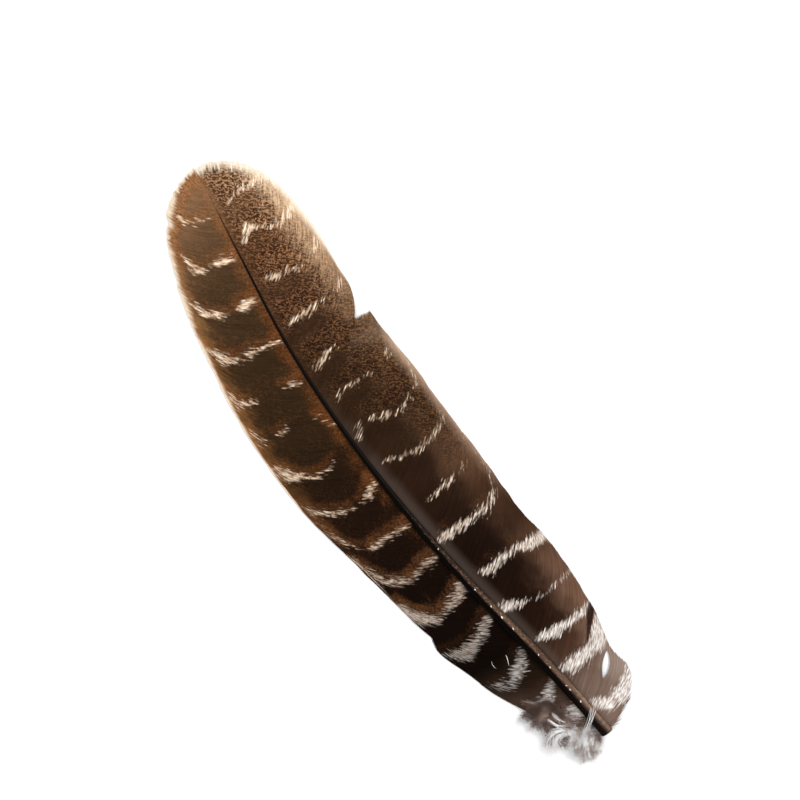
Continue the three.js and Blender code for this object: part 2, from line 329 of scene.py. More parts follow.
def shaft_at(station):
    """Across, height, width and depth of the shaft at each station."""
    values = smooth(RINGS, station)
    return values[..., 0], values[..., 1], values[..., 2], values[..., 3]


def shaft_fade(station):
    """How thin the shaft is drawn out near its tip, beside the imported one."""
    return 1 - 0.8 * ease(station, SHAFT_END - 34, SHAFT_END + RUN_OUT)


def on_frame(points):
    """Points of the feather's plan, (station, across, height) in mm, as the frame's metres."""
    points = np.asarray(points, float)
    out = np.empty_like(points)
    out[..., 0] = points[..., 1] + PLAN_TO_ROW[0]
    out[..., 1] = points[..., 0] + PLAN_TO_ROW[1]
    out[..., 2] = points[..., 2]
    return out * MM


def web_share(side, station, across):
    """How far out a place on a vane is: 0 at the shaft and 1 at the vane's border."""
    middle, _, width, _ = shaft_at(station)
    border = smooth(INNER_BORDER if side == INNER else OUTER_BORDER, station)
    reach = side * (border - middle) - width / 2
    return np.clip((side * (across - middle) - width / 2) / np.maximum(reach, 0.5), 0, 1)


def web_height(side, station, across):
    """The height of a vane's web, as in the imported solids: domed, and flat at its very edge."""
    _, height, _, _ = shaft_at(station)
    dome = np.cos(math.pi / 2 * np.minimum(1, web_share(side, station, across) / FLAT_EDGE)) ** DOME_POWER
    return np.maximum(0, height - WEB_LIFT) * dome + WEB_LIFT


# ---------------- meshes

def add_object(name, data):
    thing = bpy.data.objects.new(name, data)
    bpy.context.collection.objects.link(thing)
    return thing


def new_piece(name, points, faces, replaces=None):
    """A mesh of (station, across, height) points, riding on the feather's one body."""
    mesh = bpy.data.meshes.new(name)
    mesh.from_pydata(on_frame(points).tolist(), [], faces)
    mesh.shade_smooth()
    mesh.update()
    piece = add_object(name, mesh)
    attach(piece, "root")
    if replaces:
        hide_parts(replaces)
    return piece


def store(piece, name, *columns):
    """Gives each point of a piece three numbers, which its material reads by name."""
    values = np.stack(np.broadcast_arrays(*columns), axis=1).astype(np.float32)
    piece.data.attributes.new(name, "FLOAT_VECTOR", "POINT").data.foreach_set("vector", values.ravel())


def spindle_faces(strands, rings, sides):
    """Faces of closed spindles: each has a point, rings of points and a point again."""
    faces = []
    size = rings * sides + 2
    for first in range(0, strands * size, size):
        last = first + size - 1
        top = last - sides
        for side in range(sides):
            after = (side + 1) % sides
            faces.append((first, first + 1 + after, first + 1 + side))
            for low in range(first + 1, top, sides):
                high = low + sides
                faces.append((low + side, low + after, high + after, high + side))
            faces.append((top + side, top + after, last))
    return faces


def spindle_points(lines, offsets):
    """Points of closed spindles along lines, (strand, sample, 3), with each ring's offsets from its line.

    offsets is (strand, sample, side, 3). The first and the last sample are the spindle's two points."""
    strands, samples, sides, _ = offsets.shape
    rings = (lines[:, 1:-1, None, :] + offsets[:, 1:-1]).reshape(strands, -1, 3)
    return np.concatenate([lines[:, :1], rings, lines[:, -1:]], axis=1).reshape(-1, 3)


def per_point(values, sides):
    """Values of (strand, sample) for each point of such spindles."""
    rings = np.repeat(values[:, 1:-1], sides, axis=1)
    return np.concatenate([values[:, :1], rings, values[:, -1:]], axis=1).ravel()


# ---------------- the barbs of a vane

def edge_by_length(edge):
    """(length along the edge, station, across) rows of a vane's edge."""
    points = np.array(edge)
    steps = np.linalg.norm(np.diff(points, axis=0), axis=1)
    return np.column_stack([totals(steps), points])


def barb_roots(tips):
    """The station at which each barb leaves the shaft, closer together where their tips spread out."""
    stations = np.linspace(tips[0][0], tips[-1][0], ROOT_SAMPLES)
    spread = np.maximum(np.gradient(smooth(tips, stations), stations), LEAST_SPREAD) ** ROOT_CROWDING
    place = totals(spread[1:] + spread[:-1])
    return np.interp(np.linspace(0, place[-1], BARBS), place, stations)


def barb_paths(side, edge, tips, samples):
    """Each barb's path in plan, (barb, sample, 2), from the shaft to the vane's edge."""
    roots = barb_roots(tips)
    middle, _, width, _ = shaft_at(roots)
    start = np.column_stack([roots, middle + side * BARB_INSIDE * width * shaft_fade(roots)])
    end = smooth(edge_by_length(edge), smooth(tips, roots))
    reach = np.linalg.norm(end - start, axis=1)
    heading = np.arctan2(side * (end - start)[:, 1], (end - start)[:, 0])
    leave = heading + np.radians(LEAVE_TURN[side])
    arrive = heading - np.radians(smooth(ARRIVE_TURN, roots))
    handle = BARB_BOW * reach[:, None]
    first = start + handle * np.column_stack([np.cos(leave), side * np.sin(leave)])
    second = end - handle * np.column_stack([np.cos(arrive), side * np.sin(arrive)])
    t = np.linspace(0, 1, samples)[None, :, None]
    curve = (
        (1 - t) ** 3 * start[:, None] + 3 * t * (1 - t) ** 2 * first[:, None]
        + 3 * t * t * (1 - t) * second[:, None] + t ** 3 * end[:, None]
    )
    return roots, curve


def torn_share(paths):
    """The share of each barb's path that is left before it meets the tear, 1 where it doesn't."""
    inside = np.ones(paths.shape[:2], bool)
    for (s0, a0), (s1, a1) in zip(TEAR, TEAR[1:] + TEAR[:1]):
        inside &= (s1 - s0) * (paths[..., 1] - a0) - (a1 - a0) * (paths[..., 0] - s0) > 0
    last = paths.shape[1] - 1
    return np.where(inside.any(1), inside.argmax(1), last) / last


def part_barbs(paths):
    """Pushes barbs apart at the slit, and bunches the ones beside it."""
    middle = np.array(SLIT["middle"])
    along = np.array([math.cos(SLIT["turn"]), math.sin(SLIT["turn"])])
    off = np.array([-along[1], along[0]])
    to = paths - middle
    run, aside = to @ along, to @ off
    nearest = np.abs(run).argmin(1)
    hand = np.sign(aside[np.arange(len(paths)), nearest])[:, None]
    gap = SLIT["width"] / 2 * np.clip(1 - (2 * run / SLIT["length"]) ** 2, 0, 1)
    aside = np.where(hand * aside < 0, 0, np.abs(aside))
    near = np.clip(1 - aside / SLIT["spread"], 0, 1)
    return paths + (hand * gap * near)[..., None] * off


def resample(values, shares):
    """Values along each barb, (barb, sample, ...), taken again from its start to its share of the way."""
    samples = values.shape[1]
    at = shares[:, None] * BARB_SHARES * (samples - 1)
    low = np.minimum(at.astype(int), samples - 2)
    rows = np.arange(len(values))[:, None]
    mix = (at - low).reshape(at.shape + (1,) * (values.ndim - 2))
    return values[rows, low] * (1 - mix) + values[rows, low + 1] * mix


def bar_field(bars, places):
    """How far inside the nearest pale bar each place is, in mm, and how solid that bar is."""
    best = np.full(places.shape[:-1], NO_BAR)
    solid = np.zeros(places.shape[:-1])
    for strength, line in bars:
        for start, end in zip(line, line[1:]):
            start, end = np.array(start), np.array(end)
            way = (end - start)[:2]
            t = np.clip(((places - start[:2]) @ way) / (way @ way), 0, 1)
            nearest = start[:2] + t[..., None] * way
            inside = start[2] + t * (end[2] - start[2]) - np.linalg.norm(places - nearest, axis=-1)
            better = inside > best
            best = np.where(better, inside, best)
            solid = np.where(better, strength, solid)
    return best, solid


def ring_places(vertices):
    """The barb that each point belongs to, its place on the barb, and whether it is one of the two ends."""
    size = BARB_RINGS * BARB_SIDES + 2
    barb, local = np.divmod(vertices, size)
    return barb, local, (local == 0) | (local == size - 1)


def barb_bake_map(mesh):
    """A UV map for baking: each barb is a strip, with its top and its underside one above the other."""
    loops = np.empty(len(mesh.loops), int)
    mesh.loops.foreach_get("vertex_index", loops)
    faces = np.empty(len(mesh.polygons), int)
    mesh.polygons.foreach_get("loop_start", faces)
    owner = np.repeat(np.arange(len(faces)), np.diff(np.append(faces, len(loops))))
    barb, local, tip = ring_places(loops)
    ring = np.where(tip, np.where(local == 0, 0, BARB_RINGS + 1), (local - 1) // BARB_SIDES + 1)
    corner = np.where(tip, -1, (local - 1) % BARB_SIDES)
    seen = np.zeros((len(faces), BARB_SIDES), bool)
    np.logical_or.at(seen, (owner[~tip], corner[~tip]), True)
    under = seen[:, KEEL][owner]
    right_half = seen[:, RIGHT_EDGE][owner]
    place = np.choose(np.where(tip, 0, corner), [0.0, 0.5, 1.0, 0.5])
    place = np.where(tip, np.where(right_half, 0.75, 0.25), place)
    u = (barb + BAKE_MARGIN + (1 - 2 * BAKE_MARGIN) * place) / BARBS
    v = 0.01 + 0.48 * ring / (BARB_RINGS + 1) + 0.5 * under
    layer = mesh.uv_layers.new(name="OFBake")
    layer.data.foreach_set("uv", np.column_stack([u, v]).astype(np.float32).ravel())


def sharpen_edges(mesh):
    """Marks the lateral edges of the barbs as sharp, so that each face keeps its own slope."""
    ends = np.empty(2 * len(mesh.edges), int)
    mesh.edges.foreach_get("vertices", ends)
    _, local, tip = ring_places(ends.reshape(-1, 2))
    corner = np.where(tip, -1, (local - 1) % BARB_SIDES)
    marked = np.zeros(len(mesh.edges), bool)
    for wanted in (LEFT_EDGE, RIGHT_EDGE):
        marked |= ((corner == wanted) | tip).all(1)
    mesh.attributes.new("sharp_edge", "BOOLEAN", "EDGE").data.foreach_set("value", marked)


def barb_frame(side, line):
    """Unit vectors across each barb and up from it, and the distance to the next one."""
    forward = unit(np.gradient(line, axis=1))
    gap = np.gradient(line, axis=0)
    gap -= (gap * forward).sum(-1, keepdims=True) * forward
    sideways = unit(gap)
    up = unit(np.cross(forward, sideways)) * -side
    return sideways, up, np.linalg.norm(gap, axis=-1)


def kept_shares(side, roots, paths, length):
    """How much of each barb is there: ragged tips, most so at the base, and the torn stretch."""
    short = 0.15 + np.abs(wander(BARBS, *END_WANDER)) + RNG.uniform(0, 0.45, BARBS)
    short += np.abs(RNG.normal(0, 1.2, BARBS)) * (1 - ease(roots, 0, 4))
    shares = np.clip(1 - short / length, 0.3, 1)
    if side == INNER:
        torn = torn_share(paths)
        shares = np.where(torn < 1, torn - RNG.uniform(0, 0.02, BARBS), shares)
    return shares


def fold_and_part(line):
    """Presses the fold into the inner vane, and opens its slit."""
    paths = line[..., :2].copy()
    crease, _ = bar_field(CREASE, paths)
    line[..., 2] -= CREASE_DEPTH * ease(crease, -0.6, 0.6) * ease(line[..., 2], 0.3, 1.2)
    line[..., :2] = part_barbs(paths)


def barb_strays(side, roots, t):
    """How far each barb is off its place, sideways and up, mostly together with its neighbours."""
    aside = wander(BARBS, *PLACE_WANDER)[:, None] * t + wander(BARBS, *TIP_WANDER)[:, None] * t * t
    frayed = RNG.uniform(-FRAY, FRAY, BARBS) * (1 - ease(roots, 1.5, 5.0)) * (side == INNER)
    aside = aside + frayed[:, None] * t ** 4
    return aside, wander(BARBS, *BULGE_WANDER)[:, None] * np.sin(math.pi * t)


def barb_corners(side, spacing, left, sideways, up):
    """Each ring's corners off a barb's line: two sharp lateral edges, a low ridge and a deeper keel."""
    t = BARB_SHARES[None]
    taper = np.clip(left / BARB_TAPER, 0.0, 1) ** 0.6
    half = np.clip(0.5 * BARB_OVERLAP * spacing, *BARB_HALVES) * taper
    tilt = BARB_TILT * half * side
    ridge = BARB_RIDGE * (1.5 - 0.7 * t) * np.sqrt(taper)
    keel = BARB_KEEL * (1.6 - 0.9 * t) * np.sqrt(taper)
    corners = [(-half, -tilt), (0 * half, ridge), (half, tilt), (0 * half, -keel)]
    return np.stack([a[..., None] * sideways + b[..., None] * up for a, b in corners], axis=2)


def store_places(piece, side, edge, bars, line, along, left):
    """Gives each point of a vane what the material needs to know of its place."""
    places = line[..., :2]
    bar, solid = bar_field(bars, places)
    below, _ = bar_field(bars, places + [BAND_BELOW, 0])
    beyond, _ = bar_field(bars, places - [HALO_BEYOND, 0])
    fold = bar_field(CREASE, places)[0] if side == INNER else np.full_like(bar, NO_CREASE)
    row = np.broadcast_to(np.linspace(0, edge_by_length(edge)[-1, 0], BARBS)[:, None], along.shape)
    chance = np.broadcast_to(RNG.uniform(0, 1, BARBS)[:, None], along.shape)
    share = web_share(side, line[..., 0], line[..., 1])
    for label, triple in {
        "place": (line[..., 0], share, line[..., 1]),
        "barb": (along, row, chance),
        "bars": (bar, solid, left),
        "round": (below, beyond, fold),
    }.items():
        store(piece, label, *(per_point(v, BARB_SIDES) for v in triple))


def make_vane(name, side, edge, tips, bars, replaces):
    """One vane: barbs side by side, each lying a little over the next."""
    roots, paths = barb_paths(side, edge, tips, 4 * BARB_STEPS + 1)
    line = np.dstack([paths, web_height(side, paths[..., 0], paths[..., 1])])
    sideways, up, spacing = barb_frame(side, line)
    length = np.linalg.norm(np.diff(line, axis=1), axis=-1).sum(1)
    shares = kept_shares(side, roots, paths, length)
    if side == INNER:
        fold_and_part(line)
    line, sideways, up, spacing = (resample(v, shares) for v in (line, sideways, up, spacing))
    sideways, up = unit(sideways), unit(up)

    t = BARB_SHARES[None]
    aside, swell = barb_strays(side, roots, t)
    line = line + aside[..., None] * sideways * side + swell[..., None] * up
    line[..., 2] = np.maximum(line[..., 2], LOWEST_BARB)
    along = t * (length * shares)[:, None]
    left = (length * shares)[:, None] - along
    points = spindle_points(line, barb_corners(side, spacing, left, sideways, up))
    points[:, 2] = np.maximum(points[:, 2], LOWEST_POINT)
    piece = new_piece(name, points, spindle_faces(BARBS, BARB_RINGS, BARB_SIDES), replaces)
    sharpen_edges(piece.data)
    barb_bake_map(piece.data)
    store_places(piece, side, edge, bars, line, along, left)
    return piece


# ---------------- the shaft

def cut_end(first):
    """Rings of the quill's cut end, from the pith out to its first ring, and the pith's middle."""
    heart = first.mean(0)
    rings = []
    for size, sunk in CUT_END:
        ring = heart + (first - heart) * size
        ring[:, 0] = SHAFT_START[0] + sunk
        rings.append(ring)
    heart[0] = SHAFT_START[0] + PITH_DEPTH
    return np.array(rings), heart


def make_shaft():
    """The quill and rachis: a tapering horn rod with a ridge above, a groove below and a cut end."""
    stations = np.concatenate([
        np.linspace(SHAFT_START[0], 6, 12)[:-1], np.linspace(6, SHAFT_END + RUN_OUT, 200),
    ])
    middle, height, width, depth = shaft_at(stations)
    angle = np.arange(SHAFT_SIDES) / SHAFT_SIDES * 2 * math.pi
    cos, sin = np.cos(angle), np.sin(angle)
    out = np.sign(cos) * np.abs(cos) ** SHAFT_SQUARENESS
    rise = np.sign(sin) * np.abs(sin) ** SHAFT_SQUARENESS
    ridge = RIDGE[0] * np.exp(-((angle - RIDGE[1]) / RIDGE[2]) ** 2)
    groove = np.exp(-((angle - GROOVE[1]) / GROOVE[2]) ** 2)
    deep = GROOVE[0] * ease(stations, 18, 60)
    wave = 1 + 0.012 * wander(len(stations), 3, 1.0)
    fade = shaft_fade(stations)
    points = np.empty((len(stations), SHAFT_SIDES, 3))
    points[..., 0] = stations[:, None]
    points[..., 1] = middle[:, None] + (0.5 * width * fade * wave)[:, None] * out
    body = (0.5 * depth * fade * wave)[:, None] * (rise + ridge + deep[:, None] * groove)
    points[..., 2] = np.maximum(height[:, None] + body, 0.0)

    ends, pith = cut_end(points[0])
    points = np.concatenate([ends, points[1:]])
    rings = len(points)
    tip = np.array([SHAFT_END + SHAFT_POINT, middle[-1], height[-1]])
    flat = np.concatenate([pith[None], points.reshape(-1, 3), tip[None]])
    faces = spindle_faces(1, rings, SHAFT_SIDES)
    piece = new_piece("quill_and_rachis", flat, faces, "shaft")
    core = np.zeros(len(flat))
    core[:1 + PITH_RINGS * SHAFT_SIDES] = 1
    out = np.concatenate([[0], np.tile(cos, rings), [0]])
    rise = np.concatenate([[0], np.tile(sin, rings), [1]])
    store(piece, "place", flat[:, 0], out, rise)
    store(piece, "pith", core, core, core)
    return piece


def make_flecks():
    """Chips of dry white sheath that stand along the quill's ridge."""
    lines, offsets = [], []
    samples, sides = 5, 4
    for station, size in FLECKS:
        middle, height, width, depth = (float(v) for v in shaft_at(station))
        turn = RNG.uniform(-0.5, 0.5)
        way = np.array([math.cos(turn), math.sin(turn), RNG.uniform(0.0, 0.25)])
        start = np.array([station, middle + 0.06 * width, height + 0.52 * depth])
        t = np.linspace(-0.5, 0.5, samples)[:, None]
        lines.append(start + t * size * way + [0, 0, 0.12])
        bulge = np.sin(math.pi * (t + 0.5)) * size * 0.24 + 0.05
        around = []
        for a in (0.3, 1.9, 3.4, 4.8):
            corner = [-math.sin(a) * math.sin(turn), math.sin(a) * math.cos(turn), 0.7 * math.cos(a)]
            around.append(bulge * np.array(corner) * RNG.uniform(0.6, 1.2, (samples, 1)))
        offsets.append(np.stack(around, axis=1))
    points = spindle_points(np.array(lines), np.array(offsets))
    return new_piece("sheath_flecks", points, spindle_faces(len(FLECKS), samples - 2, sides))


# ---------------- down and loose strands

def thread_mesh(lines, radii, sides=3):
    """Points and faces of closed threads along (strand, sample, 3) lines, with a radius at each sample."""
    forward = unit(np.gradient(lines, axis=1))
    level = unit(np.cross(forward, [0.05, 0.02, 1.0]))
    upright = np.cross(level, forward)
    angles = np.arange(sides) / sides * 2 * math.pi
    offsets = np.stack([
        radii[..., None] * (math.cos(a) * level + math.sin(a) * upright) for a in angles
    ], axis=2)
    points = spindle_points(lines, offsets)
    points[:, 2] = np.maximum(points[:, 2], LOWEST_DOWN)
    return points, spindle_faces(lines.shape[0], lines.shape[1] - 2, sides)


def down_stems(rows, count):
    """The downy barbs: each leaves the quill's outer side towards the tip, and curls back."""
    u = (np.arange(count) + 0.5) / count
    root = smooth(rows, u * rows[-1][0])
    start = np.radians(root[:, 2] + wander(count, 2, 8.0) + RNG.normal(0, 3, count))
    end = np.radians(root[:, 3] + wander(count, 2, 16.0) + RNG.normal(0, 5, count))
    length = root[:, 4] * (0.88 + wander(count, 2, 0.08)) * RNG.uniform(0.9, 1.06, count)
    t = np.linspace(0, 1, DOWN_SAMPLES)[None]
    heading = start[:, None] + (end - start)[:, None] * t ** 1.3
    heading += wander(count, 2, 0.2)[:, None] * np.sin(2 * math.pi * t + wander(count, 4, 2.5)[:, None])
    step = (length / (DOWN_SAMPLES - 1))[:, None]
    station = root[:, :1] + np.cumsum(np.cos(heading), axis=1) * step + RNG.normal(0, 0.2, (count, 1))
    across = root[:, 1:2] - np.cumsum(np.sin(heading), axis=1) * step
    lift = np.clip(0.6 + wander(count, 2, 0.3), 0.15, 1.0)[:, None] * root[:, 5:6]
    height = 0.9 + 0.05 * root[:, :1] + lift * ease(t, 0.25, 0.62) - 0.75 * lift * ease(t, 0.62, 1.0)
    height = height + RNG.uniform(-0.3, 0.3, (count, 1))
    return np.dstack([station, across, height]), length


def barbules(stem, length, gap, shade):
    """For each side of a stem, its barbules' roots, ways, lengths and (place on the stem, shade)."""
    count = int(length / gap)
    at = np.sort(RNG.uniform(0.04, 1.0, count)) * (DOWN_SAMPLES - 1)
    low = np.minimum(at.astype(int), DOWN_SAMPLES - 2)
    mix = (at - low)[:, None]
    place = stem[low] * (1 - mix) + stem[low + 1] * mix
    forward = unit(stem[low + 1] - stem[low])
    level = unit(np.cross(forward, [0.0, 0.0, 1.0]))
    far = at / (DOWN_SAMPLES - 1)
    for hand in (-1, 1):
        spread = np.radians(RNG.normal(*BARBULE_SPREAD, count))[:, None]
        rise = RNG.normal(*BARBULE_RISE, count)[:, None]
        way = np.cos(spread) * forward + hand * np.sin(spread) * level
        size = RNG.uniform(0.7, 1.15, count) * (2.7 - 1.3 * far) * ease(far, -0.3, 0.1)
        tone = np.column_stack([far, np.full(count, shade)])
        yield place, unit(way + rise * np.array([0, 0, 1.0])), size, tone


def make_down(name, rows, count, gap, shades, replaces=None):
    """Down at the base of the outer vane: curling stems in locks, with fine barbules on both sides.

    gap is how far apart barbules grow. shades are the lowest and the highest shade of a lock, from brown
    at 0 to white at 1."""
    stems, length = down_stems(rows, count)
    t = np.linspace(0, 1, DOWN_SAMPLES)[None]
    lock = np.clip(0.5 + wander(count, 2, 0.42), 0, 1)
    shade = shades[0] + (shades[1] - shades[0]) * lock
    shade *= 1 - 0.6 * ease((np.arange(count) + 0.5) / count, 0.62, 0.95)
    flat = 0 * stems[..., 0]
    points, faces = thread_mesh(stems, STEM_RADIUS - (STEM_RADIUS - STEM_TIP_RADIUS) * t + flat)
    marks = np.column_stack([per_point(v + flat, 3) for v in (t, shade[:, None])])

    grown = [
        side for stem, size, tone in zip(stems, length, shade) for side in barbules(stem, size, gap, tone)
    ]
    roots, ways, sizes, tones = (np.concatenate(values) for values in zip(*grown))
    t = np.linspace(0, 1, 4)[None, :, None]
    curl = unit(np.cross(ways, RNG.normal(size=ways.shape)))
    lines = roots[:, None] + sizes[:, None, None] * (t * ways[:, None] + BARBULE_CURL * t * t * curl[:, None])
    lines[..., 2] = np.clip(lines[..., 2], 0.05, TUFT_TOP)
    radii = BARBULE_WIDTH / 2 * np.array([0.4, 1.0, 0.75, 0.0])[None] * np.ones((len(roots), 1))
    more_points, more_faces = thread_mesh(lines, radii)
    paler = [0, 0, 0, 0, 0.12, 0.12, 0.12, 0.2]  # by point, from a barbule's root to its tip
    tones = np.repeat(tones, len(paler), axis=0)
    tones[:, 0] += np.tile(paler, len(roots))

    faces += [tuple(corner + len(points) for corner in face) for face in more_faces]
    points = np.concatenate([points, more_points])
    marks = np.concatenate([marks, tones])
    piece = new_piece(name, points, faces, replaces)
    far, shade = marks.T
    store(piece, "place", *points[:, :2].T, far)
    store(piece, "shade", shade, shade, shade)
    return piece


def make_strands():
    """The wisp that lies over the quill, white strands on the tuft and two hairs on the outer vane."""
    samples = 14
    t = np.linspace(0, 1, samples)[:, None]
    lines, radii = [], []
    for start, middle, end, width, count, spread in STRANDS:
        for _ in range(count):
            a, b, c = (
                np.array(place) + RNG.normal(0, 1, 3) * spread * fan * [1, 1, 0.25]
                for place, fan in ((start, 0.5), (middle, 1.0), (end, 1.5))
            )
            lines.append((1 - t) ** 2 * a + 2 * t * (1 - t) * b + t * t * c)
            radii.append(width / 2 * (0.25 + np.sin(math.pi * t[:, 0]) ** 0.6))
    points, faces = thread_mesh(np.array(lines), np.array(radii), sides=4)
    piece = new_piece("down_wisp", points, faces)
    store(piece, "place", *points[:, :2].T, WISP_PALE)
    store(piece, "shade", *np.ones((3, len(points))))
    return piece


# ---------------- shader nodes

class Shader:
    """Builds one material's nodes. Every method gives back an output socket."""

    def __init__(self, name):
        self.material = bpy.data.materials.new(name)
        self.material.use_nodes = True
        self.tree = self.material.node_tree
        self.surface = self.tree.nodes["Principled BSDF"]

    def put(self, socket, value):
        if isinstance(value, bpy.types.NodeSocket):
            self.tree.links.new(value, socket)
        else:
            socket.default_value = value

    def node(self, kind, inputs, **settings):
        node = self.tree.nodes.new(kind)
        for key, value in settings.items():
            setattr(node, key, value)
        for key, value in inputs.items():
            self.put(node.inputs[key], value)
        return node

    def maths(self, operation, *values):
        return self.node("ShaderNodeMath", dict(enumerate(values)), operation=operation).outputs[0]

    def add(self, *values):
        return functools.reduce(lambda a, b: self.maths("ADD", a, b), values)

    def times(self, *values):
        return functools.reduce(lambda a, b: self.maths("MULTIPLY", a, b), values)

    def about(self, noise, size):
        """A noise of 0 to 1, moved to lie about zero and made size times as large."""
        return self.times(self.maths("SUBTRACT", noise, 0.5), size)

    def step(self, value, low, high, start=0, end=1):
        """Goes smoothly from start to end while value goes from low to high."""
        inputs = {"Value": value, "From Min": low, "From Max": high, "To Min": start, "To Max": end}
        return self.node("ShaderNodeMapRange", inputs, interpolation_type="SMOOTHSTEP").outputs[0]

    def parts(self, attribute):
        """The three numbers of a named attribute."""
        source = self.node("ShaderNodeAttribute", {}, attribute_name=attribute).outputs["Vector"]
        return self.node("ShaderNodeSeparateXYZ", {0: source}).outputs

    def noise(self, x, y, x_scale, y_scale, detail=2, distortion=0, roughness=0.5, z=0):
        """Noise in a plane, with so many features for each unit of x and of y."""
        place = {0: self.times(x, x_scale), 1: self.times(y, y_scale), 2: z}
        return self.node("ShaderNodeTexNoise", {
            "Vector": self.node("ShaderNodeCombineXYZ", place).outputs[0], "Scale": 1,
            "Detail": detail, "Roughness": roughness, "Distortion": distortion,
        }).outputs[0]

    def ramp(self, value, stops):
        """A colour by value, through (value, sRGB colour) stops."""
        node = self.node("ShaderNodeValToRGB", {0: value})
        band = node.color_ramp
        band.elements[0].position = stops[0][0]
        band.elements[1].position = stops[-1][0]
        for place, _ in stops[1:-1]:
            band.elements.new(place)
        for element, (_, colour) in zip(band.elements, stops):
            element.color = srgb(colour)
        return node.outputs[0]

    def by_length(self, length, stops):
        """A colour by a place along the feather, 0 to 1, through (station, sRGB colour) stops."""
        return self.ramp(length, [(station / FEATHER_LENGTH, colour) for station, colour in stops])

    def mix(self, factor, first, second, blend="MIX"):
        node = self.tree.nodes.new("ShaderNodeMix")
        node.data_type = "RGBA"
        node.blend_type = blend
        sockets = {s.name: s for s in node.inputs if s.enabled}
        for key, value in {"Factor": factor, "A": first, "B": second}.items():
            self.put(sockets[key], value)
        return next(s for s in node.outputs if s.enabled)

    def darken(self, colour, by):
        return self.mix(1, colour, by, "MULTIPLY")

    def bump(self, height, distance, strength=1):
        inputs = {"Height": height, "Distance": distance, "Strength": strength}
        return self.node("ShaderNodeBump", inputs).outputs[0]

    def finish(self, **inputs):
        """Sets the surface's own sockets, with spaces in their names written as underscores."""
        for key, value in inputs.items():
            self.put(self.surface.inputs[key.replace("_", " ")], value)
        return self.material


def srgb(colour):
    """A linear colour from an sRGB one, which is written as 0xRRGGBB."""
    parts = [(colour >> shift & 255) / 255 for shift in (16, 8, 0)]
    linear = [c / 12.92 if c <= 0.04045 else ((c + 0.055) / 1.055) ** 2.4 for c in parts]
    return (*linear, 1)


# ---------------- the vanes' material

# A painted sheen: the grey of light glancing off the barbs' roots beside the shaft.
PAINTED_SHEEN_GREY = 0x524740
PLAIN_BROWN = 0x1a0e07  # of the dark band below each bar
# Painted shadow inside the fold of the inner vane.
PAINTED_FOLD_SHADOW = 0x1e100a
UNDERSIDE_BROWN = 0x8c7c70


class VaneShader(Shader):
    """A vane's material, with what each point knows of its place, and the streaks that its layers share."""

    def __init__(self, name, look):
        super().__init__(name)
        self.look = look
        self.station, self.share, self.across = self.parts("place")
        self.along, self.row, self.chance = self.parts("barb")
        self.bar, self.solid, self.left = self.parts("bars")
        self.below, self.beyond, self.fold = self.parts("round")
        self.length = self.maths("DIVIDE", self.station, FEATHER_LENGTH)
        self.cloud = self.noise(self.station, self.across, 0.10, 0.13, 3)  # soft patches
        self.silk = self.noise(self.along, self.row, 0.09, 1.1, 2.5)  # streaks along the barbs
        self.streaks = self.noise(self.along, self.row, 0.16, 0.95, 2, 0.4, 0.6, z=9)  # shorter ones
        self.wisps = self.noise(self.along, self.row, 0.34, 2.3, 1, z=12)  # finer ones
        self.beside = self.step(self.bar, -8, -1.5, look["spaced"], 1)  # near a bar

    def colours(self, name):
        """One of the look's colours, which change along the feather."""
        return self.by_length(self.length, self.look[name])


def ground(s):
    """Brown, darker near the shaft, with streaks along the barbs and a painted grey sheen beside the shaft.
    """
    look = s.look
    outward = s.step(s.add(s.share, s.about(s.cloud, 0.5)), look["outward"], 0.98)
    colour = s.mix(outward, s.colours("near"), s.colours("far"))
    shade = s.add(s.times(s.silk, 0.8), s.times(s.chance, 0.2))
    colour = s.darken(colour, s.ramp(shade, [(0.3, 0xcdcdcd), (0.7, WHITE)]))
    # Painted sheen: a grey band beside the shaft, where light glances off the barbs' roots.
    grey = s.times(s.step(s.share, look["sheen_width"], 0.02), s.step(s.station, 20, 40, 0.3, 1))
    grey = s.times(grey, s.step(s.station, 110, 200, look["sheen"], 0))
    return s.mix(grey, colour, srgb(PAINTED_SHEEN_GREY))


def add_rust(s, colour):
    """Rusty brown beyond the bars, beside the shaft and along the edge, with fine darker freckles."""
    rust = s.look["rust"]
    grit = s.noise(s.station, s.across, 1, 1, 2)
    halo = s.times(s.step(s.beyond, -3.2, 0.6), rust["bars"])
    root = s.times(s.step(s.share, 0.26, 0.04), s.step(s.station, 90, 150, 0, rust["root"]))
    rim = s.times(s.step(s.left, 9.5, 2), s.step(s.station, 60, 150, 0, rust["edge"]))
    rusty = s.add(halo, root, rim, s.about(s.cloud, 0.9), s.about(grit, 0.85))
    rusty = s.times(s.step(rusty, 0.12, 0.85), s.step(s.station, *rust["stations"], rust["low"], 1))
    freckles = s.noise(s.station, s.across, 1.7, 1.7, 2, z=20)
    freckles = s.add(s.times(freckles, 0.55), s.times(s.wisps, 0.45))
    freckles = s.ramp(freckles, [(0.4, 0xa89c92), (0.56, WHITE)])
    return s.mix(rusty, colour, s.darken(s.by_length(s.length, rust["colours"]), freckles))


